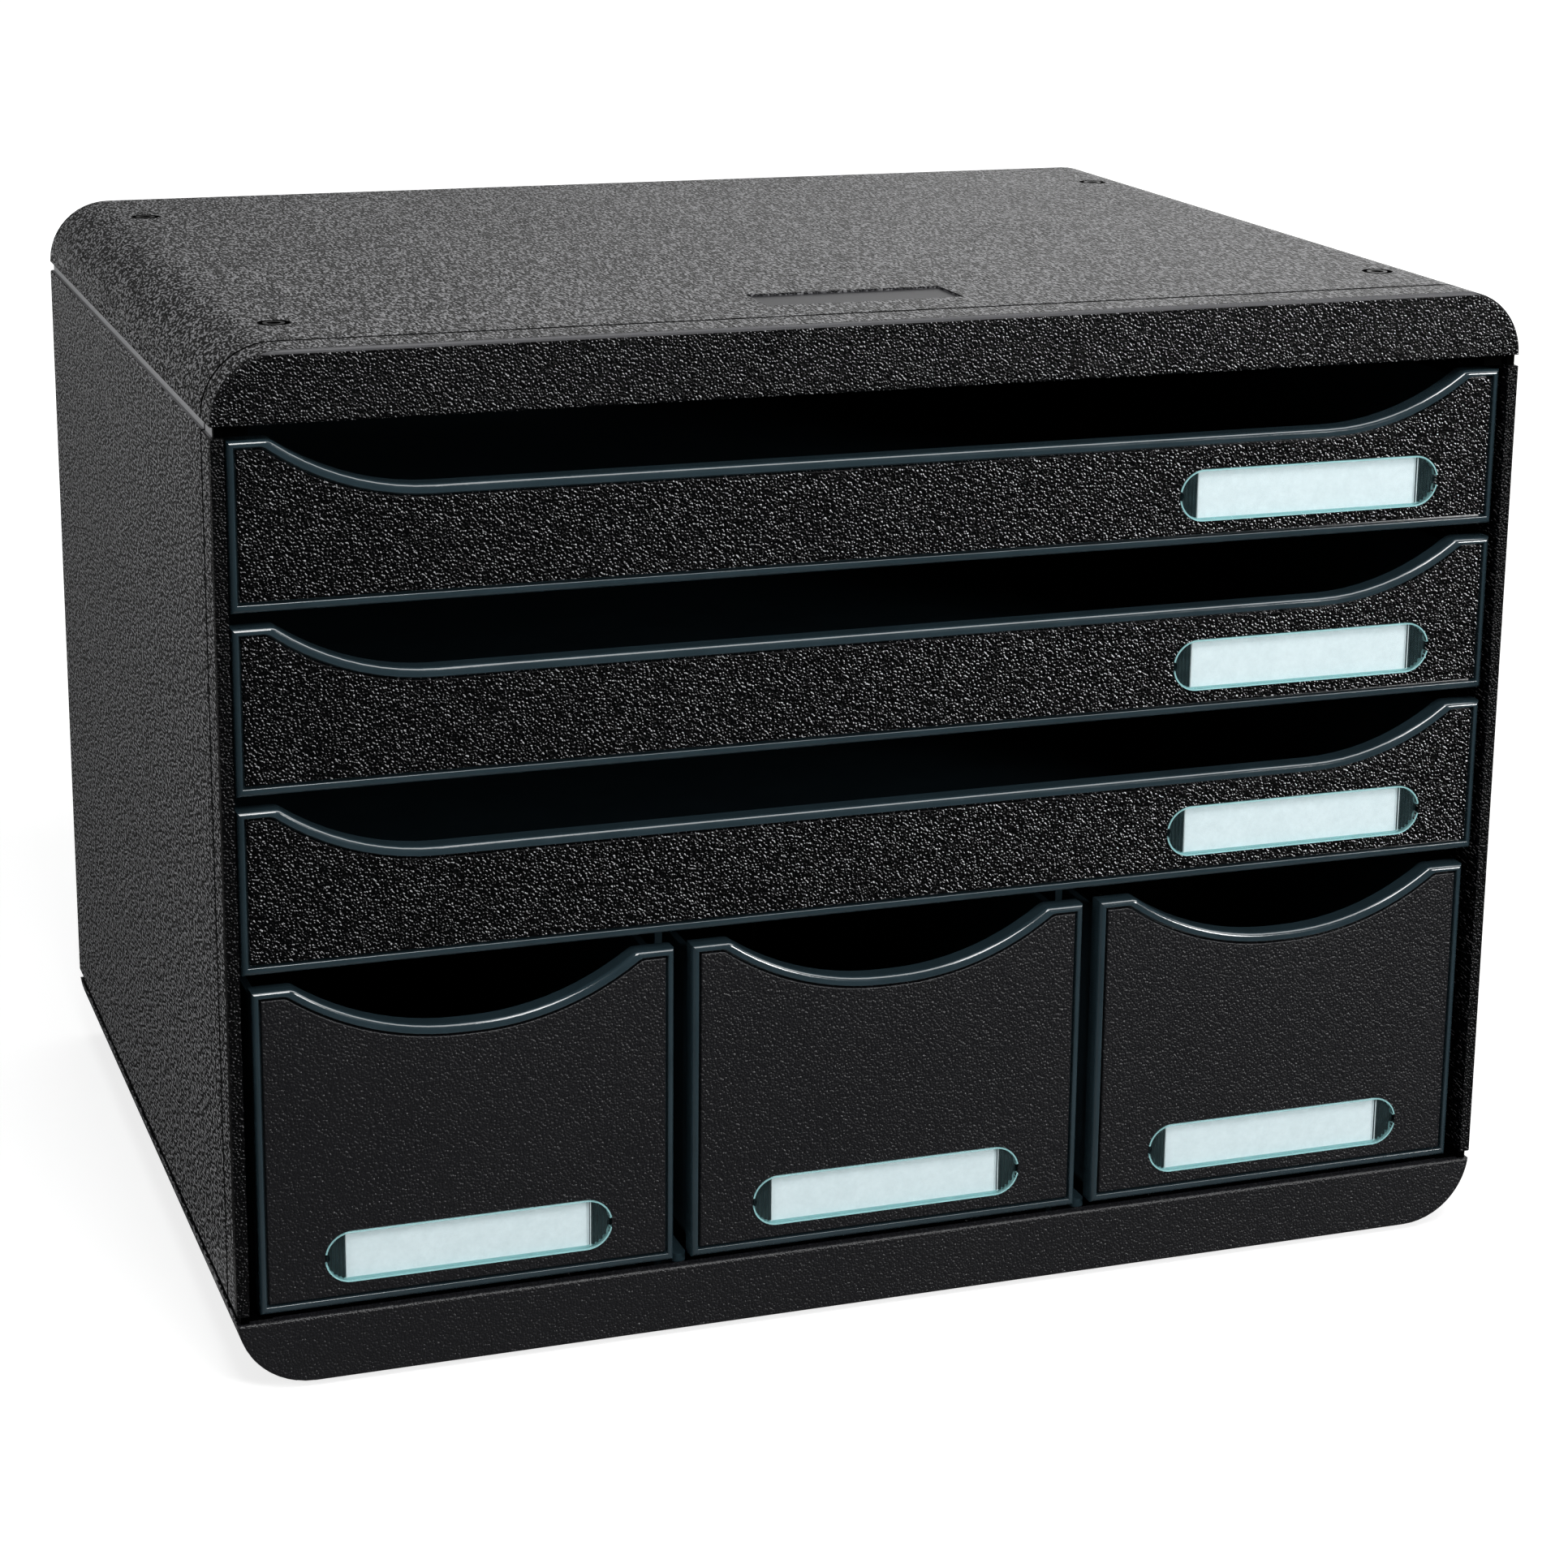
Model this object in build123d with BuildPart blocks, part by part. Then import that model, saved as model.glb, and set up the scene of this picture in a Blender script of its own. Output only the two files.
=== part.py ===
from build123d import *
from collections import namedtuple
import os

os.makedirs("parts", exist_ok=True)

# Millimetres. X runs from left to right, the drawers open towards -Y, and Z is up from the table.
unit_width = 355.0
unit_depth = 270.0

# Base and cover, two like mouldings with wide rounded corners
foot_height = 2.0
base_height = 18.0
base_corner = 20.0
cover_height = 18.0
cover_corner = 18.0
shell_wall = 2.6
apron_wall = 3.0
shell_edge = 0.8

# Side panels and the shadow seams above and below them
side_wall = 3.2
side_edge = 0.6
lower_seam = 2.4
upper_seam = 2.8
seam_recess = 1.0
ledge_width = 6.3
ledge_setback = 2.3
ledge_lift = 0.6
tongue_depth = 3.5
tongue_clearance = 0.9
tongue_setback = 5.0

# Fine line around the top and the sides
line_setback = 12.5
line_width = 0.7
line_depth = 0.5

# Back panel
back_wall = 3.0
back_inset = 0.2
back_window = 1.2
back_margin = 14.0

# Drawer fronts
front_setback = 2.4
front_wall = 5.5
front_edge = 1.3
top_corner = 2.2
foot_corner = 1.5
bend_corner = 3.0
ear_length = 10.6
wide_height = 42.8
wide_side_gap = 1.0
wide_scoop_run = 40.4
wide_scoop_drop = 13.4
small_height = 87.5
small_side_gap = 3.25
small_between = 5.0
small_scoop_flat = 2.0
small_scoop_drop = 14.0
wide_names = ["lower_drawer", "middle_drawer", "upper_drawer"]
small_names = ["left_small_drawer", "centre_small_drawer", "right_small_drawer"]

# Free heights between the drawers, from the base up
small_lift = 0.9
shelf_gap = 4.6
wide_between = 3.8
cover_gap = 4.0

# Frame strips around the panel of a drawer front
side_strip = 1.7
foot_strip = 2.1
ear_strip = 1.7
rim_strip = 2.4
strip_edge = 0.3
pocket_depth = 2.2
pocket_corner = 1.1

# Front panel, label window and card
panel_gap = 0.65
panel_thickness = 2.0
panel_edge = 0.35
panel_corner = 0.7
window_length = 76.4
window_height = 14.0
window_clearance = 0.15
window_margin = 3.5
window_side_margin = 17.5
window_proud = 0.2
window_edge = 0.45
notch_radius = 1.4
flute_count = 5
flute_pitch = 1.05
flute_width = 0.5
flute_depth = 0.35
card_length = 65.0
card_height = 13.2
card_thickness = 0.3

# Tub behind each front
tub_inset = 1.6
tub_drop = 5.0
tub_wall = 2.0
tub_floor = 2.0
tub_corner = 6.0
tub_round = 3.0
tub_inner_round = 1.5
tub_overlap = 0.5
rear_gap = 5.8

# Runners, with the clearance that a drawer slides with
slide_clearance = 0.3
rail_width = 9.0
rail_height = 2.0
rail_front_gap = 12.0
rib_width = 2.0
rib_spread = 30.0
rib_front_gap = 9.0
shelf_thickness = 1.6
shelf_setback = 30.0
back_rib_width = 4.0
back_rib_spread = 120.0

# Dividers between the small drawers
divider_web = 2.0
divider_foot_width = 4.0
divider_foot_height = 2.2
divider_foot_rise = 0.2
divider_foot_setback = 3.0
divider_web_setback = 25.0

# Stops that keep the drawers in at full travel
drawer_travel = 185.0
stop_spare = 0.5
stop_length = 5.0
lug_length = 6.0
lug_height = 10.0
lug_lift = 6.0
lug_reach = 1.4
stop_reach = 1.8
stop_height = 14.0
tab_width = 24.0
tab_rise = 3.5
tab_thickness = 2.0
block_width = 14.0
block_drop = 3.5

# Stacking sockets in the cover, with like sockets in the base for the ring feet
socket_spacing_x = 308.0
socket_spacing_y = 193.0
socket_radius = 4.2
socket_depth = 2.0
pin_radius = 2.8
bore_radius = 1.8
boss_radius = 6.0
boss_height = 7.0
foot_clearance = 0.2

# Shallow smooth field on the cover
field_length = 54.4
field_width = 18.4
field_depth = 0.6

# Heights and places that follow from these
base_top = foot_height + base_height
small_bottom = base_top + small_lift
small_top = small_bottom + small_height
wide_first = small_top + shelf_gap
wide_step = wide_height + wide_between
cover_bottom = wide_first + len(wide_names) * wide_step - wide_between + cover_gap
unit_height = cover_bottom + cover_height
front_face_y = -unit_depth / 2
back_face_y = unit_depth / 2
side_face_x = unit_width / 2
inner_x = side_face_x - side_wall
ledge_x = inner_x - ledge_width
front_y = front_face_y + front_setback
wall_back_y = front_y + front_wall
back_inner_y = back_face_y - back_inset - back_wall
tub_rear_y = back_inner_y - rear_gap
pocket_y = front_y + pocket_depth
panel_y = pocket_y - panel_thickness
window_y = panel_y - window_proud
card_y = pocket_y - card_thickness
wide_width = 2 * (inner_x - wide_side_gap)
small_count = len(small_names)
small_span = 2 * (inner_x - small_side_gap)
small_width = (small_span - (small_count - 1) * small_between) / small_count
small_step = small_width + small_between
small_centres = [(i - (small_count - 1) / 2) * small_step for i in range(small_count)]
divider_centres = [x + small_step / 2 for x in small_centres[:-1]]
shelf_top = wide_first - slide_clearance - rail_height
shelf_bottom = shelf_top - shelf_thickness
lug_front_y = tub_rear_y - lug_length
stop_rear_y = lug_front_y - drawer_travel - stop_spare
floor_z = foot_height + shell_wall

# The two shells and the two kinds of drawer front
Shell = namedtuple("Shell", "open_z up height corner")
Front = namedtuple("Front", "width height run drop")
cover_shell = Shell(cover_bottom, 1, cover_height, cover_corner)
base_shell = Shell(base_top, -1, base_height, base_corner)
wide_front = Front(wide_width, wide_height, wide_scoop_run, wide_scoop_drop)
small_run = small_width / 2 - ear_length - small_scoop_flat
small_front = Front(small_width, small_height, small_run, small_scoop_drop)


def save(piece, name):
    """Labels a finished piece and writes it to its own file."""
    piece.part.label = name
    export_step(piece.part, f"parts/{name}.step")


def front_plane(x, y, z):
    """A plane that faces the front, with its own y axis upwards."""
    return Plane(origin=(x, y, z), x_dir=(1, 0, 0), z_dir=(0, -1, 0))


def box_between(low, high, mode=Mode.ADD):
    """A block between two opposite corners."""
    with Locations(tuple((a + b) / 2 for a, b in zip(low, high))):
        Box(*[b - a for a, b in zip(low, high)], mode=mode)


def shell_outline(shell, y, grow=0.0, inner_grow=None):
    """A shell seen from the front: straight at its open edge and round at its far corners."""
    tall = 3 * shell.corner
    plane = Plane(origin=(0, y, shell.open_z), x_dir=(shell.up, 0, 0), z_dir=(0, -1, 0))
    with BuildSketch(plane) as outline:
        for amount, mode in ((grow, Mode.ADD), (inner_grow, Mode.SUBTRACT)):
            if amount is not None:
                with Locations((0, shell.height + amount - tall / 2)):
                    size = (unit_width + 2 * amount, tall, shell.corner + amount)
                    RectangleRounded(*size, mode=mode)
        with Locations((0, -tall)):
            Rectangle(2 * unit_width, 2 * tall, mode=Mode.SUBTRACT)
    return outline.sketch


def make_shell(shell):
    """A shallow moulding with its stacking sockets and the fine line around it."""
    with BuildPart() as body:
        extrude(shell_outline(shell, front_face_y), amount=-unit_depth)
        hollow = shell_outline(shell, front_face_y + apron_wall, -shell_wall)
        extrude(hollow, amount=-(unit_depth - 2 * apron_wall), mode=Mode.SUBTRACT)
        ring = shell_outline(shell, front_face_y + line_setback, shell_edge, -line_depth)
        extrude(ring, amount=-line_width, mode=Mode.SUBTRACT)
        for end in (0, -1):
            face = body.faces().filter_by(Plane.XZ).sort_by(Axis.Y)[end]
            fillet(face.outer_wire().edges(), radius=shell_edge)
        face_z = shell.open_z + shell.up * shell.height
        face_plane = Plane(origin=(0, 0, face_z), z_dir=(0, 0, shell.up))
        with BuildSketch(face_plane.offset(-boss_height)):
            with GridLocations(socket_spacing_x, socket_spacing_y, 2, 2):
                Circle(boss_radius)
        extrude(amount=boss_height - shell_wall / 2)
        with BuildSketch(face_plane):
            with GridLocations(socket_spacing_x, socket_spacing_y, 2, 2):
                Circle(socket_radius)
                Circle(pin_radius, mode=Mode.SUBTRACT)
        extrude(amount=-socket_depth, mode=Mode.SUBTRACT)
        with BuildSketch(face_plane):
            with GridLocations(socket_spacing_x, socket_spacing_y, 2, 2):
                Circle(bore_radius)
        extrude(amount=-boss_height, mode=Mode.SUBTRACT)
    return body


def front_outline(front, origin, insets=(0.0, 0.0, 0.0, 0.0), corners=(0.0, 0.0)):
    """A drawer front from its lower middle, drawn in at its sides, foot, ears and scoop rim."""
    side, foot, ear, rim = insets
    radius = (front.run**2 + front.drop**2) / (2 * front.drop)
    flat = front.width / 2 - ear_length - front.run
    centre_height = front.height - front.drop + radius
    with BuildSketch(front_plane(*origin)) as outline:
        with Locations((0, (foot + front.height - ear) / 2)):
            Rectangle(front.width - 2 * side, front.height - ear - foot)
        with Locations((-flat, centre_height), (flat, centre_height)):
            Circle(radius + rim, mode=Mode.SUBTRACT)
        with Locations((0, centre_height)):
            Rectangle(2 * flat, 2 * (radius + rim), mode=Mode.SUBTRACT)
        top_points = outline.vertices().group_by(Axis.Y)[-1].sort_by(Axis.X)
        foot_points = outline.vertices().group_by(Axis.Y)[0]
        fillet(top_points[1:-1], radius=bend_corner)
        fillet([top_points[0], top_points[-1]], radius=corners[0])
        fillet(foot_points, radius=corners[1])
    return outline.sketch


def make_tub(front, x, z):
    """The open tub behind a drawer front, round at its rear corners and along its bottom."""
    length = tub_rear_y - wall_back_y + tub_overlap
    middle_y = (tub_rear_y + wall_back_y - tub_overlap) / 2
    width = front.width - 2 * tub_inset
    with BuildPart() as tub:
        with BuildSketch(Plane(origin=(x, middle_y, z))) as plan:
            Rectangle(width, length)
            fillet(plan.vertices().group_by(Axis.Y)[-1], radius=tub_corner)
        extrude(amount=front.height - tub_drop)
        fillet(tub.faces().sort_by(Axis.Z)[0].edges().sort_by(Axis.Y)[1:], radius=tub_round)
        with BuildSketch(Plane(origin=(x, middle_y - tub_wall, z + tub_floor))) as hollow:
            Rectangle(width - 2 * tub_wall, length)
            fillet(hollow.vertices().group_by(Axis.Y)[-1], radius=tub_corner - tub_wall)
        extrude(amount=front.height, mode=Mode.SUBTRACT)
        floor = tub.faces().filter_by(Plane.XY).group_by(Axis.Z)[1]
        fillet(floor.edges().sort_by(Axis.Y)[1:], radius=tub_inner_round)
    return tub


def add_side_lugs(front, x, z):
    """Two lugs on a tub's sides near its rear, which meet the stops on the runners."""
    half = front.width / 2 - tub_inset
    for side in (-1, 1):
        near, far = sorted((x + side * (half - tub_wall / 2), x + side * (half + lug_reach)))
        low = (near, lug_front_y - tub_corner, z + lug_lift)
        box_between(low, (far, tub_rear_y - tub_corner, z + lug_lift + lug_height))


def add_rear_tab(front, x, z):
    """A tab on the rear wall's top edge, which meets the block under the shelf."""
    top = z + front.height - tub_drop
    low = (x - tab_width / 2, tub_rear_y - tab_thickness, top - tab_rise)
    box_between(low, (x + tab_width / 2, tub_rear_y, top + tab_rise))


def make_drawer(name, front, x, z, label_x, add_stop):
    """One drawer: the tray with its framed front, the front panel, the label window and the card."""
    strips = (side_strip, foot_strip, ear_strip, rim_strip)
    tub = make_tub(front, x, z)
    with BuildPart() as tray:
        add(tub)
        outline = front_outline(front, (x, front_y, z), corners=(top_corner, foot_corner))
        extrude(outline, amount=-front_wall)
        pocket = front_outline(front, (x, front_y, z), strips, (pocket_corner, pocket_corner))
        extrude(pocket, amount=-pocket_depth, mode=Mode.SUBTRACT)
        frame_face = tray.faces().filter_by(Plane.XZ).sort_by(Axis.Y)[0]
        fillet(frame_face.outer_wire().edges(), radius=front_edge)
        frame_face = tray.faces().filter_by(Plane.XZ).sort_by(Axis.Y)[0]
        fillet(frame_face.inner_wires()[0].edges(), radius=strip_edge)
        add_stop(front, x, z)
    save(tray, f"{name}_tray")

    window_z = z + foot_strip + panel_gap + window_margin + window_height / 2
    insets = [strip + panel_gap for strip in strips]
    with BuildPart() as panel:
        outline = front_outline(front, (x, panel_y, z), insets, (panel_corner, panel_corner))
        extrude(outline, amount=-panel_thickness)
        panel_face = panel.faces().filter_by(Plane.XZ).sort_by(Axis.Y)[0]
        fillet(panel_face.outer_wire().edges(), radius=panel_edge)
        with BuildSketch(front_plane(label_x, panel_y, window_z)):
            SlotOverall(window_length + 2 * window_clearance, window_height + 2 * window_clearance)
        extrude(amount=-panel_thickness, mode=Mode.SUBTRACT)
    save(panel, f"{name}_front_panel")

    flute_middle = card_length / 2 + flute_count * flute_pitch / 2
    with BuildPart() as window:
        with BuildSketch(front_plane(label_x, window_y, window_z)):
            SlotOverall(window_length, window_height)
            with Locations((-window_length / 2, 0), (window_length / 2, 0)):
                Circle(notch_radius, mode=Mode.SUBTRACT)
        extrude(amount=-(card_y - window_y))
        window_face = window.faces().filter_by(Plane.XZ).sort_by(Axis.Y)[0]
        fillet(window_face.edges(), radius=window_edge)
        with BuildSketch(front_plane(label_x, window_y, window_z)):
            with Locations((-flute_middle, 0), (flute_middle, 0)):
                with GridLocations(flute_pitch, 1, flute_count, 1):
                    Rectangle(flute_width, window_height)
        extrude(amount=-flute_depth, mode=Mode.SUBTRACT)
    save(window, f"{name}_label_window")

    with BuildPart() as card:
        with BuildSketch(front_plane(label_x, card_y, window_z)):
            Rectangle(card_length, card_height)
        extrude(amount=-card_thickness)
    save(card, f"{name}_label_card")


# Cover: a shell that opens downwards, with a shallow smooth field on its face
cover_body = make_shell(cover_shell)
with BuildPart() as top_cover:
    add(cover_body)
    with BuildSketch(Plane(origin=(0, -socket_spacing_y / 2, unit_height))):
        Rectangle(field_length, field_width)
    extrude(amount=-field_depth, mode=Mode.SUBTRACT)
save(top_cover, "top_cover")

# Base: the same kind of shell, open upwards
base = make_shell(base_shell)
save(base, "base")

# Ring feet, pressed into the sockets under the base
for side_name, sx in (("left", -1), ("right", 1)):
    for end_name, sy in (("front", -1), ("rear", 1)):
        with BuildPart() as foot:
            centre = (sx * socket_spacing_x / 2, sy * socket_spacing_y / 2)
            with BuildSketch(Plane(origin=(*centre, 0))):
                Circle(socket_radius - foot_clearance)
                Circle(pin_radius + foot_clearance, mode=Mode.SUBTRACT)
            extrude(amount=foot_height + socket_depth)
        save(foot, f"{end_name}_{side_name}_foot")

# Side panels, each with a seam strip, a ledge and a tongue at its top and bottom
panel_low = base_top + lower_seam
panel_high = cover_bottom - upper_seam
strip_y = (front_face_y + seam_recess, back_face_y - seam_recess)
ledge_y = (front_face_y + ledge_setback, back_inner_y)
tongue_y = (front_face_y + tongue_setback, back_face_y - tongue_setback)
line_y = (front_face_y + line_setback, front_face_y + line_setback + line_width)
for side_name, side in (("left", -1), ("right", 1)):
    wall = sorted((side * inner_x, side * side_face_x))
    strip = sorted((side * inner_x, side * (side_face_x - seam_recess)))
    ledge = sorted((side * ledge_x, side * inner_x))
    tongue = sorted((side * ledge_x, side * (inner_x - tongue_clearance)))
    groove = sorted((side * (side_face_x - line_depth), side * (side_face_x + side_edge)))
    lower = (base_top - tongue_depth, base_top, base_top + ledge_lift, panel_low)
    upper = (cover_bottom + tongue_depth, cover_bottom, panel_high, panel_high)
    with BuildPart() as side_panel:
        box_between((wall[0], front_face_y, panel_low), (wall[1], back_face_y, panel_high))
        outer = side_panel.faces().sort_by(Axis.X)[0 if side < 0 else -1]
        fillet(outer.edges(), radius=side_edge)
        low = (groove[0], line_y[0], panel_low)
        box_between(low, (groove[1], line_y[1], panel_high), mode=Mode.SUBTRACT)
        for levels in (lower, upper):
            tip, seam, ledge_end, strip_end = levels
            for x, y, heights in (
                (strip, strip_y, sorted((seam, strip_end))),
                (ledge, ledge_y, sorted((seam, ledge_end))),
                (tongue, tongue_y, sorted((tip, seam))),
            ):
                box_between((x[0], y[0], heights[0]), (x[1], y[1], heights[1]))
    save(side_panel, f"{side_name}_side_panel")

# Back panel between the side panels, with a thinner middle
with BuildPart() as back_panel:
    back_middle_z = (base_top + cover_bottom) / 2
    back_outer_y = back_face_y - back_inset
    with BuildSketch(front_plane(0, back_inner_y, back_middle_z)):
        Rectangle(2 * inner_x, cover_bottom - base_top)
    extrude(amount=-back_wall)
    with BuildSketch(front_plane(0, back_outer_y, back_middle_z)):
        margins = 2 * back_margin
        RectangleRounded(2 * inner_x - margins, cover_bottom - base_top - margins, back_margin)
    extrude(amount=back_window, mode=Mode.SUBTRACT)
save(back_panel, "back_panel")

# Shelf over the small drawers, which ties the dividers to the side panels
with BuildPart() as divider_shelf:
    shelf_y = front_face_y + shelf_setback
    box_between((-inner_x, shelf_y, shelf_bottom), (inner_x, back_inner_y, shelf_top))
save(divider_shelf, "divider_shelf")

# Blocks under the shelf that stop the small drawers
with BuildPart() as shelf_stops:
    for x in small_centres:
        low = (x - block_width / 2, stop_rear_y - stop_length, shelf_bottom - block_drop)
        box_between(low, (x + block_width / 2, stop_rear_y, shelf_bottom))
save(shelf_stops, "shelf_stops")

# Dividers, each a thin web on a low guide rail with a round nose
for name, x in zip(("left_divider", "right_divider"), divider_centres):
    with BuildPart() as divider:
        web_y = front_face_y + divider_web_setback
        web = divider_web / 2
        box_between((x - web, web_y, floor_z), (x + web, back_inner_y, shelf_bottom))
        nose_y = front_y + divider_foot_setback
        guide_top = small_bottom + divider_foot_rise
        guide_length = back_inner_y - nose_y
        guide_centre = (x, (back_inner_y + nose_y) / 2, guide_top - divider_foot_height)
        with BuildSketch(Plane(origin=guide_centre)) as guide:
            Rectangle(divider_foot_width, guide_length)
            nose = guide.vertices().group_by(Axis.Y)[0]
            fillet(nose, radius=0.45 * divider_foot_width)
        extrude(amount=divider_foot_height)
    save(divider, name)

# Ribs on the base's floor that the small drawers slide on
with BuildPart() as floor_runners:
    rib_y = wall_back_y + rib_front_gap
    rib_top = small_bottom - slide_clearance
    for x in small_centres:
        for rib_x in (x - rib_spread, x + rib_spread):
            low = (rib_x - rib_width / 2, rib_y, floor_z)
            box_between(low, (rib_x + rib_width / 2, tub_rear_y, rib_top))
save(floor_runners, "floor_runners")

# Runner rails on the side panels, and the stops over them that the drawers' lugs meet
rail_tops = [wide_first + level * wide_step - slide_clearance for level in range(len(wide_names))]
rail_y = wall_back_y + rail_front_gap
side_stop_y = stop_rear_y - stop_length - tub_corner
for side_name, side in (("left", -1), ("right", 1)):
    rail = sorted((side * (inner_x - rail_width), side * inner_x))
    with BuildPart() as runner_rails:
        for rail_top in rail_tops:
            low = (rail[0], rail_y, rail_top - rail_height)
            box_between(low, (rail[1], back_inner_y, rail_top))
    save(runner_rails, f"{side_name}_runner_rails")
    stop = sorted((side * (inner_x - stop_reach), side * inner_x))
    with BuildPart() as side_stops:
        for rail_top in rail_tops:
            high = (stop[1], side_stop_y + stop_length, rail_top + stop_height)
            box_between((stop[0], side_stop_y, rail_top), high)
    save(side_stops, f"{side_name}_side_stops")

# Upright ribs on the back panel, which the closed drawers rest against
with BuildPart() as back_ribs:
    rib_front_y = tub_rear_y + slide_clearance
    for x in small_centres:
        low = (x - back_rib_width / 2, rib_front_y, base_top)
        box_between(low, (x + back_rib_width / 2, back_inner_y, shelf_bottom))
    for x in (-back_rib_spread, back_rib_spread):
        low = (x - back_rib_width / 2, rib_front_y, shelf_top)
        box_between(low, (x + back_rib_width / 2, back_inner_y, cover_bottom))
save(back_ribs, "back_ribs")

# Three full-width drawers, with their labels to the right
wide_label_x = wide_width / 2 - window_side_margin - window_length / 2
for level, name in enumerate(wide_names):
    z = wide_first + level * wide_step
    make_drawer(name, wide_front, 0, z, wide_label_x, add_side_lugs)

# Three deep small drawers side by side, with their labels in the middle
for name, x in zip(small_names, small_centres):
    make_drawer(name, small_front, x, small_bottom, x, add_rear_tab)
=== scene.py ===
import math
import bpy
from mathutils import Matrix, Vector


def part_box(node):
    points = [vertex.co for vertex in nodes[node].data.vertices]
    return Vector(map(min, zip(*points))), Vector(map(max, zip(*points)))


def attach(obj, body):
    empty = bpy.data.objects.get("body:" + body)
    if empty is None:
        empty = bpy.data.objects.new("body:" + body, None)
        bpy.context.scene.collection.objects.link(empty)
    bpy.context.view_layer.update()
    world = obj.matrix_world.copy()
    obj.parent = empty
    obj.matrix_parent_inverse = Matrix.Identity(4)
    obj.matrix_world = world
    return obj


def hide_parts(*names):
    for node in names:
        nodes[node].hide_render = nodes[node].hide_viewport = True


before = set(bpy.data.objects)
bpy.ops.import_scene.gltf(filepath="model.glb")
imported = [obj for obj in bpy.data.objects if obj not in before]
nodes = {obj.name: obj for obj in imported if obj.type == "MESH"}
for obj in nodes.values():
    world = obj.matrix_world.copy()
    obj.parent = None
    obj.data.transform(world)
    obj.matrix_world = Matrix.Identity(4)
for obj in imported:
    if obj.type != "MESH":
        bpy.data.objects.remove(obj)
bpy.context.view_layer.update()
bpy.ops.object.select_all(action="DESELECT")


# Casing mouldings: base, side panels, back panel and cover are injection-moulded in black
# polystyrene, with a pebble grain from the etched mould on every outer face. Painted glints in
# the base colour help the grain's sparkle. The seams, groove and sockets carry painted shade,
# and the outer seam strips and the cover's front edge carry painted highlights.
# The ribs, rails and stops inside come out of the same mould colour.
class Shade:
    """One value in a material's node tree, which adds its own Math nodes."""

    def __init__(self, tree, socket=None):
        self.tree = tree
        self.socket = socket

    def node(self, kind, settings=None, inputs=None, out=0):
        """Any node: its type, its settings, the values or links of its sockets, and the output."""
        new = self.tree.nodes.new(kind)
        for name, value in (settings or {}).items():
            setattr(new, name, value)
        for name, value in (inputs or {}).items():
            if isinstance(value, Shade):
                self.tree.links.new(value.socket, new.inputs[name])
            else:
                new.inputs[name].default_value = value
        return Shade(self.tree, new.outputs[out])

    def math(self, operation, *values):
        """A Math node on these values."""
        return self.node("ShaderNodeMath", {"operation": operation}, dict(enumerate(values)))

    def __add__(self, other):
        return self.math("ADD", self, other)

    def __radd__(self, other):
        return self.math("ADD", other, self)

    def __sub__(self, other):
        return self.math("SUBTRACT", self, other)

    def __rsub__(self, other):
        return self.math("SUBTRACT", other, self)

    def __mul__(self, other):
        return self.math("MULTIPLY", self, other)

    def __rmul__(self, other):
        return self.math("MULTIPLY", other, self)

    def vector_math(self, operation, *values, out=0):
        """A Vector Math node on these values."""
        settings = {"operation": operation}
        return self.node("ShaderNodeVectorMath", settings, dict(enumerate(values)), out)

    def smooth(self, low, high, to_low=0.0, to_high=1.0):
        """This value mapped from one range onto another, with soft ends."""
        limits = {"From Min": low, "From Max": high, "To Min": to_low, "To Max": to_high}
        settings = {"interpolation_type": "SMOOTHSTEP"}
        return self.node("ShaderNodeMapRange", settings, {"Value": self, **limits})

    def noise(self, scale, detail=2.0, roughness=0.5, out=0):
        """Noise on this vector, with the scale in lumps per metre."""
        inputs = {"Vector": self, "Scale": scale, "Detail": detail, "Roughness": roughness}
        return self.node("ShaderNodeTexNoise", {}, inputs, out)

    def pebbles(self, scale, softness):
        """Distance to the middle of the nearest pebble, with the scale in pebbles per metre."""
        inputs = {"Vector": self, "Scale": scale, "Smoothness": softness, "Randomness": 1.0}
        return self.node("ShaderNodeTexVoronoi", {"feature": "SMOOTH_F1"}, inputs)

    def blend(self, colour_a, colour_b):
        """A colour between two, by this value."""
        settings = {"data_type": "RGBA"}
        return self.node("ShaderNodeMix", settings, {0: self, 6: colour_a, 7: colour_b}, out=2)

    def bump(self, strength, distance):
        """The normal of a surface with this height."""
        inputs = {"Height": self, "Strength": strength, "Distance": distance}
        return self.node("ShaderNodeBump", {}, inputs)


def new_material(name):
    """An empty node material: the material, its shader and its object coordinates."""
    material = bpy.data.materials.new(name)
    material.use_nodes = True
    tree = material.node_tree
    shader = tree.nodes["Principled BSDF"]
    place = Shade(tree).node("ShaderNodeTexCoord", out=3)
    return material, shader, place


def feed(shade, shader, socket):
    """Links a Shade to one of the shader's sockets."""
    shade.tree.links.new(shade.socket, shader.inputs[socket])


def axis_of(place, axis):
    """One coordinate of a place."""
    return place.node("ShaderNodeSeparateXYZ", {}, {0: place}, out="XYZ".index(axis))


box_edge = 0.0001
socket_middle = (0.154, 0.0965, 0.0)
socket_reach = (0.0042, 0.0044)


def round_sockets(place):
    """1 inside the four stacking sockets, and 0 outside."""
    folded = place.vector_math("ABSOLUTE", place)
    away = folded.vector_math("SUBTRACT", folded, socket_middle)
    flat = away.vector_math("MULTIPLY", away, (1.0, 1.0, 0.0))
    return flat.vector_math("LENGTH", flat, out=1).smooth(*socket_reach, 1.0, 0.0)


def region(place, box):
    """1 inside and 0 outside a box, given as a list of axis, low and high, or as a function."""
    if callable(box):
        return box(place)
    mask = 1.0
    for axis, low, high in box:
        along = axis_of(place, axis)
        above = along.smooth(low - box_edge, low + box_edge)
        below = along.smooth(high - box_edge, high + box_edge, 1.0, 0.0)
        mask = above * below * mask
    return mask


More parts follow.
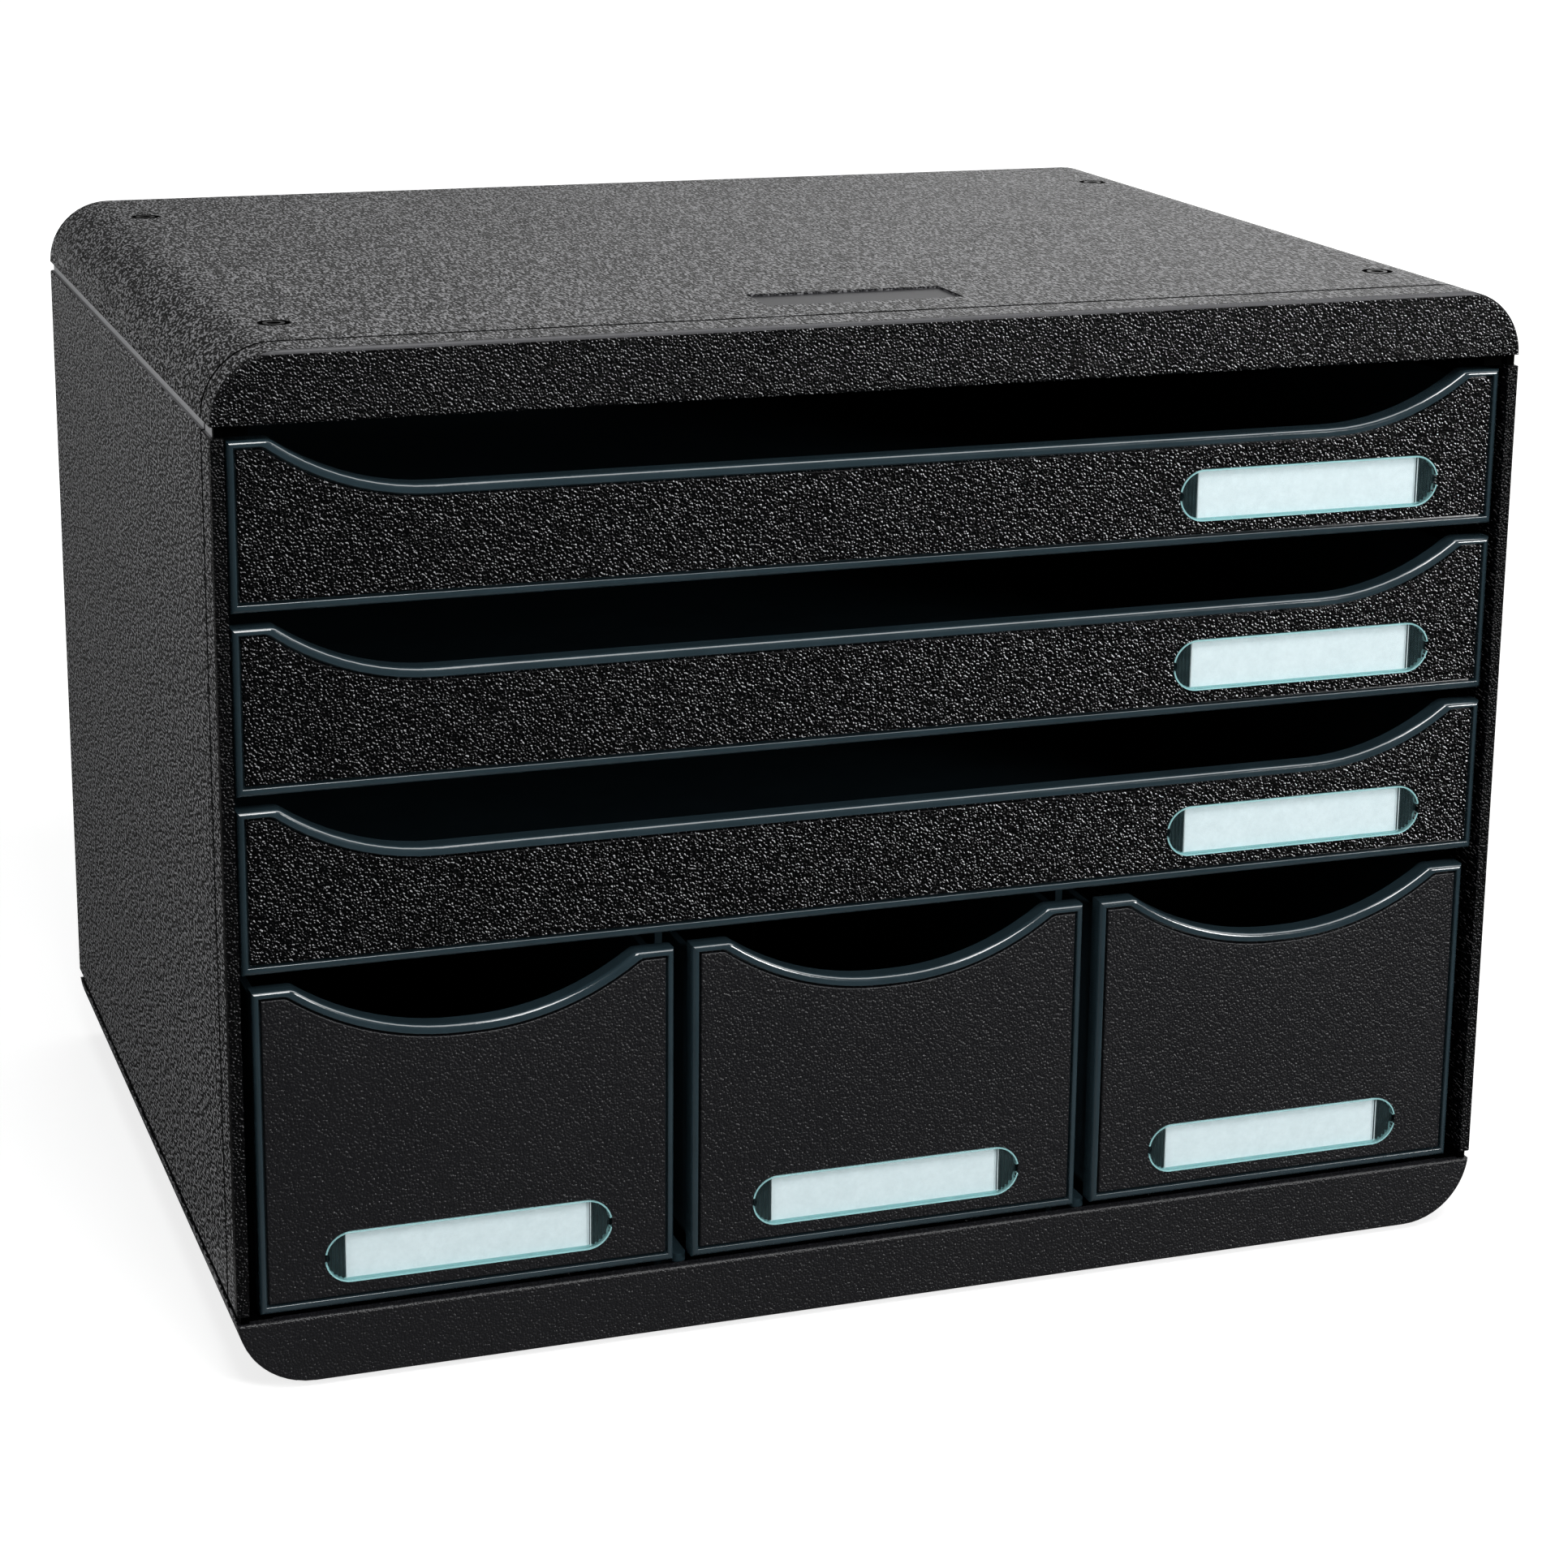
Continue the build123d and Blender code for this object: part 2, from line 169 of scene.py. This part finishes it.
grain_draw = (1.0, 0.34, 1.0)
sway_scale = 1500.0
sway_reach = (0.00012, 0.00012, 0.00012)
lit_side = (0.00009, -0.00006, 0.00012)
pebble_scale = 1600.0
pebble_softness = 0.10
stroke_slope = (0.14, 0.23)
stroke_ring = (0.26, 0.44)
fleck_scale = 1600.0
fleck_cut = (0.50, 0.62)
pit_scale = 900.0
pit_share = 0.25
cloud_scale = 14.0
cloud_rise = 2.5
cloud_polish = 0.02
# From the left side to the right side the painted glints grow paler, towards the key lamp.
unit_sides = (-0.18, 0.17)
# The pale colour of the painted glints on the grain.
painted_glint_colour = (0.85, 0.85, 0.88, 1.0)


def grained_plastic(name, colour, depth, roughness, specular, glint, smooth_parts=(), bolder=()):
    """Black plastic with a pebble grain about 0.6 mm across, drawn out in depth.

    The strokes on the lit side of each pebble are painted glints: the base colour there is as
    pale as glint says, from the left side to the right side, where the key lamp stands. In a
    bolder box the grain is deeper, and painted speckle glints, as pale as its shine, take the
    strokes' place. A smooth part is a box with its own colour, roughness and metallic.
    """
    material, shader, place = new_material(name)
    drawn = place.vector_math("MULTIPLY", place, grain_draw)
    sway = drawn.noise(sway_scale, detail=0.0, out=1)
    swayed = drawn.vector_math("MULTIPLY_ADD", sway, sway_reach, drawn)
    uphill = drawn.vector_math("ADD", swayed, lit_side)
    pebbles = swayed.pebbles(pebble_scale, pebble_softness)
    beyond = uphill.pebbles(pebble_scale, pebble_softness)
    height = drawn.noise(pit_scale, detail=1.0) * pit_share - pebbles * pebbles
    strokes = (beyond - pebbles).smooth(*stroke_slope) * pebbles.smooth(*stroke_ring)
    # Painted speckle glints for the bolder boxes.
    painted_flecks = drawn.noise(fleck_scale, detail=0.0).smooth(*fleck_cut)
    cloud = place.noise(cloud_scale, detail=3.0, roughness=0.6)
    height = height + cloud * cloud_rise
    rough = cloud.smooth(0.3, 0.7, roughness - cloud_polish, roughness + cloud_polish)
    # Painted glints: the lit-side strokes, paler towards the right side, where the key lamp
    # stands.
    painted_glints = strokes * axis_of(place, "X").smooth(*unit_sides, *glint)
    # In a bolder box the grain is deeper, and painted speckle glints take the strokes' place.
    for box, relief, shine in bolder:
        mask = region(place, box)
        height = height * (mask * (relief - 1.0) + 1.0)
        painted_glints = painted_glints * (1.0 - mask) + painted_flecks * (mask * shine)
    # The painted glints lighten the black base colour.
    tone = painted_glints.blend((*colour, 1.0), painted_glint_colour)
    metallic = 0.0
    for box, part_colour, part_roughness, part_metallic in smooth_parts:
        mask = region(place, box)
        metallic = (1.0 - mask) * metallic + mask * part_metallic
        height = height * (1.0 - mask)
        rough = rough * (1.0 - mask) + mask * part_roughness
        tone = mask.blend(tone, (*part_colour, 1.0))
    if smooth_parts:
        feed(metallic, shader, "Metallic")
    feed(height.bump(1.0, depth), shader, "Normal")
    feed(rough, shader, "Roughness")
    feed(tone, shader, "Base Color")
    shader.inputs["Specular IOR Level"].default_value = specular
    return material


def dress(node_name, material):
    """Gives a CAD node one material."""
    mesh = nodes[node_name].data
    mesh.materials.clear()
    mesh.materials.append(material)


casing_look = ((0.0012, 0.0012, 0.0015), 0.00028, 0.23, 0.18)
matt_look = ((0.0065, 0.0065, 0.0080), 0.00020, 0.36, 0.40)
matt_glint = (0.015, 0.03)
# Painted sheen: the smooth seam strips on the outer sides, pale as if lit from above.
seam_painted_sheen = (0.72, 0.72, 0.74)
# Painted shade: metallic near-black for the shadow gaps of the seams, the groove and the sockets.
painted_hollow_shade = (0.001, 0.001, 0.001)

panel_tongue = 0.0035
seam_height = 0.0028
seam_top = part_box("left_side_panel")[1].z - panel_tongue
upper_seam = ("Z", seam_top - seam_height, seam_top)
lower_seam = ("Z", 0.0200, 0.0224)
outside_left = ("X", -0.19, -0.1755)
outside_right = ("X", 0.1755, 0.19)
behind_front = ("Y", -0.1320, 0.2)
# Painted shade along the thin groove that runs round the casing near the front.
painted_groove_line = ([("Y", -0.1230, -0.1214)], painted_hollow_shade, 0.9, 1.0)
# The seams of the side panels are painted dark as shade, and their outer strips pale as a
# highlight.
side_smooth = [
    ([upper_seam], painted_hollow_shade, 0.6, 1.0),
    ([upper_seam, outside_left, behind_front], seam_painted_sheen, 0.35, 0.0),
    ([upper_seam, outside_right, behind_front], seam_painted_sheen, 0.35, 0.0),
    ([lower_seam], painted_hollow_shade, 0.6, 1.0),
    painted_groove_line,
]
# On the outer sides the grain is deeper, with painted speckle glints for its sparkle.
side_bolder = [
    ([("X", -0.19, -0.1770), behind_front], 1.5, 0.54),
    ([("X", 0.1770, 0.19), behind_front], 1.5, 0.54),
]
bare_field = [("X", -0.0272, 0.0272), ("Y", -0.1057, -0.0873)]
# A painted highlight along the cover's rounded front edge.
painted_edge_highlight = [("Y", -0.1360, -0.1343), ("Z", 0.2700, 0.2720)]
cover_smooth = [
    (bare_field, (0.03, 0.03, 0.033), 0.32, 0.0),
    painted_groove_line,
    (painted_edge_highlight, (0.09, 0.09, 0.095), 0.28, 0.0),
    # Painted shade in the four stacking sockets.
    (round_sockets, painted_hollow_shade, 0.25, 0.0),
]
cover_top = [("Y", -0.1337, 0.2), ("Z", 0.2500, 0.28)]
# On the cover's top the grain is deeper, with painted speckle glints for its sparkle.
cover_bolder = [(cover_top, 3.2, 0.37), *side_bolder]

# Each glint pair sets how pale the painted glints are at the left and at the right side.
casing_plastic = grained_plastic("casing_plastic", *casing_look, (0.03, 0.03))
base_plastic = grained_plastic("base_plastic", *matt_look, matt_glint, [painted_groove_line], side_bolder)
side_plastic = grained_plastic(
    "side_plastic", *casing_look, (0.07, 0.10), side_smooth, side_bolder
)
cover_plastic = grained_plastic(
    "cover_plastic", *casing_look, (0.40, 0.80), cover_smooth, cover_bolder
)
casing_nodes = [
    "back_panel", "back_ribs", "divider_shelf", "shelf_stops", "floor_runners",
    "left_runner_rails", "right_runner_rails", "left_side_stops", "right_side_stops",
]
for name in casing_nodes:
    dress(name, casing_plastic)
for name in ("left_side_panel", "right_side_panel"):
    dress(name, side_plastic)
dress("top_cover", cover_plastic)
dress("base", base_plastic)


# Feet: four rings of black rubber, pressed into the sockets under the base. Their skin is dull
# and very finely pitted.
foot_rubber, shader, place = new_material("foot_rubber")
feed(place.noise(2200.0).smooth(0.2, 0.8, 0.7, 0.9), shader, "Roughness")
shader.inputs["Base Color"].default_value = (0.02, 0.02, 0.02, 1.0)
for name in ("front_left_foot", "front_right_foot", "rear_left_foot", "rear_right_foot"):
    dress(name, foot_rubber)


# Trays: the six drawers are moulded in a smooth slate blue-grey plastic with a satin polish.
# Their front frames catch the light along the rounded rim, and the dividers' guide rails
# between the small drawers are the same colour.
slate_colour = (0.022, 0.040, 0.050, 1.0)
deeper_slate = (0.0187, 0.034, 0.0425, 1.0)
tray_roughness = (0.13, 0.18)
tray_plastic, shader, place = new_material("tray_plastic")
mottle = place.noise(60.0, detail=3.0, roughness=0.6)
feed(mottle.smooth(0.3, 0.7, *tray_roughness), shader, "Roughness")
feed(mottle.smooth(0.3, 0.7).blend(deeper_slate, slate_colour), shader, "Base Color")
orange_peel = place.noise(420.0, detail=1.0)
feed(orange_peel.bump(0.5, 0.00004), shader, "Normal")
shader.inputs["Specular IOR Level"].default_value = 1.0

drawers = [
    "lower_drawer", "middle_drawer", "upper_drawer",
    "left_small_drawer", "centre_small_drawer", "right_small_drawer",
]
for name in drawers:
    dress(f"{name}_tray", tray_plastic)
for name in ("left_divider", "right_divider"):
    dress(name, tray_plastic)


# Front panels: grained black plates that are set into the frame of each drawer front. The wide
# drawers' plates are glossier and carry bright painted glints, paler towards the right side, and
# the small drawers' plates are matt, with faint painted glints.
wide_look = ((0.0012, 0.0012, 0.0015), 0.00028, 0.22, 0.10)
panel_plastic = grained_plastic("panel_plastic", *wide_look, (0.42, 0.90))
small_panel_plastic = grained_plastic("small_panel_plastic", *matt_look, matt_glint)
for name in drawers:
    dress(f"{name}_front_panel", small_panel_plastic if "small" in name else panel_plastic)


# Label cards: bare pale card, cut to size, that slides in behind each window. Its fibres show
# as a slight unevenness of the tone.
card_shadow = (0.72, 0.84, 0.87, 1.0)
card_light = (0.77, 0.89, 0.92, 1.0)
card_material, shader, place = new_material("label_card")
fibres = place.noise(900.0, detail=3.0, roughness=0.7)
feed(fibres.smooth(0.3, 0.7).blend(card_shadow, card_light), shader, "Base Color")
shader.inputs["Roughness"].default_value = 0.75
for name in drawers:
    dress(f"{name}_label_card", card_material)


# Label windows: clear moulded covers, each an obround plate with a rolled lip and a skirt that
# snaps into the front panel. Upright flutes behind both ends give a grip for changing the card,
# and a small notch at each tip takes a fingernail. The lip is painted pale teal as a highlight,
# the flutes are painted near-black as shade, and a thin pale rib beside each end of the card is
# painted as a highlight line.
def clear_plastic(name, colour, alpha, roughness):
    """Clear plastic with a faint sea-green tint, so thin that it hardly bends the light."""
    material, shader, place = new_material(name)
    shader.inputs["Base Color"].default_value = (*colour, 1.0)
    shader.inputs["Specular IOR Level"].default_value = 0.5
    haze = place.noise(300.0, detail=2.0)
    feed(haze.smooth(0.3, 0.7, roughness, roughness + 0.03), shader, "Roughness")
    feed(haze.smooth(0.3, 0.7, alpha - 0.01, alpha + 0.01), shader, "Alpha")
    return material


def select_faces(mesh, chosen):
    """In edit mode, only the faces that pass the test are left selected."""
    bpy.ops.object.mode_set(mode="OBJECT")
    for face in mesh.polygons:
        face.select = chosen(face)
    bpy.ops.object.mode_set(mode="EDIT")


def select_piece(piece):
    """Leaves one piece selected and active."""
    bpy.ops.object.select_all(action="DESELECT")
    piece.select_set(True)
    bpy.context.view_layer.objects.active = piece


def copy_piece(pattern):
    """A copy of a piece with its own mesh."""
    copy = pattern.copy()
    copy.data = pattern.data.copy()
    bpy.context.collection.objects.link(copy)
    return copy


def settle_piece(piece):
    """Bakes a piece's place, turn and size into its mesh."""
    select_piece(piece)
    bpy.ops.object.transform_apply(location=True, rotation=True, scale=True)


def apply_modifier(kind, **settings):
    """Adds a modifier to the active piece and applies it."""
    modifier = bpy.context.object.modifiers.new(kind.lower(), kind)
    for setting, value in settings.items():
        setattr(modifier, setting, value)
    bpy.ops.object.modifier_apply(modifier=modifier.name)


pane_material = clear_plastic("window_pane", (0.25, 0.42, 0.44), 0.03, 0.05)
# The lip's pale teal is a painted highlight along its rolled edge.
lip_painted_highlight = clear_plastic("window_lip", (0.42, 0.78, 0.80), 0.65, 0.10)
# The flutes are painted near-black and nearly opaque, as shade.
flute_painted_shade = clear_plastic("window_flutes", (0.004, 0.010, 0.012), 0.85, 0.08)
# The ribs beside the card's ends are painted pale, as highlight lines.
rib_painted_highlight = clear_plastic("window_ribs", (0.80, 0.90, 0.92), 0.75, 0.15)
window_depth = 0.0018
window_sides = 62
end_reach = 0.0003
skirt_wall = 0.0006
skirt_hollow = 0.0009
window_lip = 0.0004
lip_slope = 0.0003
lip_drop = 0.00025
lip_cover = window_lip * 1.2
window_edge = 0.00012
notch_radius = 0.0014
notch_depth = 0.01

low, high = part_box("lower_drawer_label_window")
window_half = (high.z - low.z) / 2
window_run = (high.x - low.x) / 2 - window_half + end_reach
middle = Vector(((low.x + high.x) / 2, low.y + window_depth / 2, (low.z + high.z) / 2))

bpy.ops.mesh.primitive_cylinder_add(
    vertices=window_sides, radius=window_half, depth=window_depth, location=middle,
    rotation=(math.pi / 2, math.pi / window_sides, 0.0),
)
bpy.ops.object.transform_apply(location=False, rotation=True, scale=True)
pane = bpy.context.object
for corner in pane.data.vertices:
    corner.co.x += math.copysign(window_run, corner.co.x)
bpy.ops.object.mode_set(mode="EDIT")
bpy.ops.mesh.select_mode(type="FACE")
select_faces(pane.data, lambda face: face.normal.y > 0.9)
bpy.ops.mesh.inset(thickness=skirt_wall, depth=0.0)
bpy.ops.mesh.extrude_region_move(TRANSFORM_OT_translate={"value": (0.0, -skirt_hollow, 0.0)})
select_faces(pane.data, lambda face: face.normal.y < -0.9)
bpy.ops.mesh.inset(thickness=window_lip, depth=0.0)
bpy.ops.mesh.inset(thickness=lip_slope, depth=-lip_drop)
bpy.ops.object.mode_set(mode="OBJECT")
for side in (-1, 1):
    tip = middle.x + side * (window_run + window_half)
    bpy.ops.mesh.primitive_cylinder_add(
        vertices=24, radius=notch_radius, depth=notch_depth, location=(tip, middle.y, middle.z),
        rotation=(math.pi / 2, 0.0, 0.0),
    )
    notch = bpy.context.object
    select_piece(pane)
    apply_modifier("BOOLEAN", object=notch, operation="DIFFERENCE")
    bpy.data.objects.remove(notch)
apply_modifier("BEVEL", width=window_edge, segments=2, limit_method="ANGLE")
settle_piece(pane)
pane.name = "label_window_pane"
for material in (pane_material, lip_painted_highlight):
    pane.data.materials.append(material)
for face in pane.data.polygons:
    across = abs(face.center.z - middle.z)
    past_run = max(0.0, abs(face.center.x - middle.x) - window_run)
    on_lip = math.hypot(past_run, across) > window_half - lip_cover
    face.material_index = 1 if on_lip or across >= window_half - window_lip else 0

card_half = 0.0325
card_gap = 0.0004
flute_pitch = 0.00105
flute_count = 5
flute_radius = flute_pitch * 0.40
flute_squeeze = 0.8
flute_back = 0.0012
flute_edge = 0.00008
flute_reach = window_half - 0.0007
rib_radius = 0.00014
rib_thinness = rib_radius / flute_radius
rib_reach = 2.2 * rib_radius

bpy.ops.mesh.primitive_cylinder_add(
    vertices=12, radius=flute_radius, depth=1.0, location=(0.0, 0.0, 0.0)
)
flute = bpy.context.object
apply_modifier("BEVEL", width=flute_edge, segments=1, limit_method="ANGLE")
flutes = []
for side in (-1, 1):
    rib = copy_piece(flute)
    rib.scale = (rib_thinness, rib_thinness, 2 * flute_reach)
    rib.location = (middle.x + side * (card_half + rib_radius), low.y + flute_back, middle.z)
    flutes.append(rib)
    for step in range(flute_count):
        along = card_half + card_gap + (step + 0.5) * flute_pitch
        past_run = max(0.0, along - window_run)
        bar = copy_piece(flute)
        bar.scale = (1.0, flute_squeeze, 2 * math.sqrt(flute_reach**2 - past_run**2))
        bar.location = (middle.x + side * along, low.y + flute_back, middle.z)
        flutes.append(bar)
bpy.ops.object.select_all(action="DESELECT")
for bar in flutes:
    bar.select_set(True)
bpy.context.view_layer.objects.active = flutes[0]
bpy.ops.object.join()
flute_block = bpy.context.object
settle_piece(flute_block)
flute_block.name = "label_window_flutes"
for material in (flute_painted_shade, rib_painted_highlight):
    flute_block.data.materials.append(material)
for face in flute_block.data.polygons:
    from_card = abs(face.center.x - middle.x) - card_half
    face.material_index = 1 if from_card < rib_reach else 0
bpy.data.objects.remove(flute)

for name in drawers:
    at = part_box(f"{name}_label_window")[0]
    for pattern, part in ((pane, "pane"), (flute_block, "flutes")):
        piece = copy_piece(pattern)
        piece.name = f"{name}_label_window_{part}"
        piece.location = at - low
        settle_piece(piece)
        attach(piece, name)
        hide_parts(f"{name}_label_window")
for pattern in (pane, flute_block):
    bpy.data.objects.remove(pattern)
bpy.ops.object.select_all(action="DESELECT")


# Floor and backdrop: a pale floor and a white world, which the camera and clear plastic see as
# plain white, and which keep the object's soft shadow. A dim room around it, and two cards on
# the floor, are seen by reflections alone and give the black plastic its tones.
def sees_background(tree):
    """A mask for the rays that see the white background."""
    rays = Shade(tree).node("ShaderNodeLightPath")
    path = rays.socket.node
    mask = Shade(tree, path.outputs["Is Camera Ray"])
    for name in ("Is Glossy Ray", "Is Transmission Ray"):
        mask = mask.math("MAXIMUM", mask, Shade(tree, path.outputs[name]))
    return mask


def only_in_reflections(item, glow):
    """Makes a thing glow dimly, seen by reflections alone, graded by its own coordinates."""
    surface, shader, place = new_material(item.name)
    shader.inputs["Base Color"].default_value = (0.0, 0.0, 0.0, 1.0)
    shader.inputs["Specular IOR Level"].default_value = 0.0
    feed(glow(place), shader, "Emission Color")
    shader.inputs["Emission Strength"].default_value = 1.0
    item.data.materials.append(surface)
    for ray in ("camera", "diffuse", "transmission", "shadow"):
        setattr(item, f"visible_{ray}", False)


world_fill = 0.15
world = bpy.data.worlds.new("studio")
bpy.context.scene.world = world
world.use_nodes = True
background = world.node_tree.nodes["Background"]
strength = sees_background(world.node_tree)
strength = strength.math("MAXIMUM", strength, world_fill)
world.node_tree.links.new(strength.socket, background.inputs["Strength"])
background.inputs["Color"].default_value = (1.0, 1.0, 1.0, 1.0)

floor_size = 12.0
floor_dark = (0.55, 0.55, 0.55, 1.0)
floor_light = (0.57, 0.57, 0.57, 1.0)
floor_lift_near = 0.75
floor_lift_reach = (0.3, 1.2)
bpy.ops.mesh.primitive_plane_add(size=floor_size, location=(0.0, 0.0, 0.0))
floor = bpy.context.object
floor.name = "floor"
floor_material, shader, place = new_material("floor")
paper = place.noise(3.0).smooth(0.3, 0.7)
feed(paper.blend(floor_dark, floor_light), shader, "Base Color")
shader.inputs["Roughness"].default_value = 0.9
shader.inputs["Specular IOR Level"].default_value = 0.1
away = place.vector_math("LENGTH", place, out=1)
lift = away.smooth(*floor_lift_reach, floor_lift_near, 1.0)
feed(sees_background(floor_material.node_tree) * lift, shader, "Emission Color")
shader.inputs["Emission Strength"].default_value = 1.0
floor.data.materials.append(floor_material)

room_size = (6.4, 6.4, 4.2)
room_middle = (0.0, 0.0, 1.9)
front_run = (-0.5, 0.5)
front_levels = (0.005, 0.03)
rear_run = (-0.015, 0.28)
rear_levels = (0.07, 0.85)
rear_starts = (-0.1, 0.2)
softbox = [("Y", -0.45, -0.08), ("Z", 0.05, 0.6), ("X", -0.10, 0.6)]
softbox_level = 4.0


def room_glow(place):
    """Dark in front and lighter behind and to the right, with a softbox up at the front right."""
    across = axis_of(place, "X")
    rear = axis_of(place, "Y").smooth(*rear_starts)
    front_level = across.smooth(*front_run, *front_levels)
    rear_level = across.smooth(*rear_run, *rear_levels)
    walls = front_level * (1.0 - rear) + rear_level * rear
    return walls + region(place, softbox) * softbox_level


bpy.ops.mesh.primitive_cube_add(size=1.0, location=room_middle)
room = bpy.context.object
room.name = "studio_room"
room.scale = room_size
only_in_reflections(room, room_glow)
floor_cards = [
    ("left_floor_card", (-1.36, 0.60, 0.0004), (2.4, 3.0, 1.0), (-0.25, 0.1, 0.03, 0.07)),
    ("front_floor_card", (0.0, -1.60, 0.0006), (6.2, 3.1, 1.0), (0.38, 0.5, 0.02, 0.16)),
]
for name, location, size, grading in floor_cards:
    bpy.ops.mesh.primitive_plane_add(size=1.0, location=location)
    card = bpy.context.object
    card.name = name
    card.scale = size
    only_in_reflections(card, lambda place: axis_of(place, "Y").smooth(*grading))


# Lamps: a small one at the front right makes the grain and its painted glints sparkle, and a
# larger one above the front lights the fronts' rims. A wide lamp hangs overhead, and a weak one
# fills the left side.
def area_lamp(name, place, aim, size, power):
    """A square soft lamp that points at a place on the object."""
    bpy.ops.object.light_add(type="AREA", location=place)
    lamp = bpy.context.object
    lamp.name = name
    lamp.data.shape = "SQUARE"
    lamp.data.size = size
    lamp.data.energy = power
    lamp.rotation_euler = (Vector(aim) - Vector(place)).to_track_quat("-Z", "Y").to_euler()


area_lamp("overhead_lamp", (0.2, 0.3, 1.8), aim=(0.0, 0.0, 0.2), size=1.2, power=6.0)
area_lamp("front_top_lamp", (-0.1, -1.15, 1.45), aim=(0.0, 0.0, 0.15), size=0.6, power=13.0)
area_lamp("key_lamp", (1.15, -1.45, 0.60), aim=(0.0, -0.1, 0.15), size=0.4, power=15.0)
area_lamp("left_lamp", (-1.4, -0.9, 0.9), aim=(0.0, 0.0, 0.15), size=0.6, power=5.0)


# Camera: at the photograph's eye height, a little to the left of the middle, with a long lens
# that stands level enough to keep the uprights nearly upright.
camera_place = (-0.32399, -0.96543, 0.42264)
camera_turn = (75.3798, -0.59, -19.2084)
bpy.ops.object.camera_add(location=camera_place)
camera = bpy.context.object
camera.rotation_euler = [math.radians(angle) for angle in camera_turn]
camera.data.sensor_width = 36.0
camera.data.lens = 81.816
camera.data.shift_y = -0.0999
camera.data.clip_start = 0.05
bpy.context.scene.camera = camera
bpy.context.scene.view_settings.view_transform = "Standard"
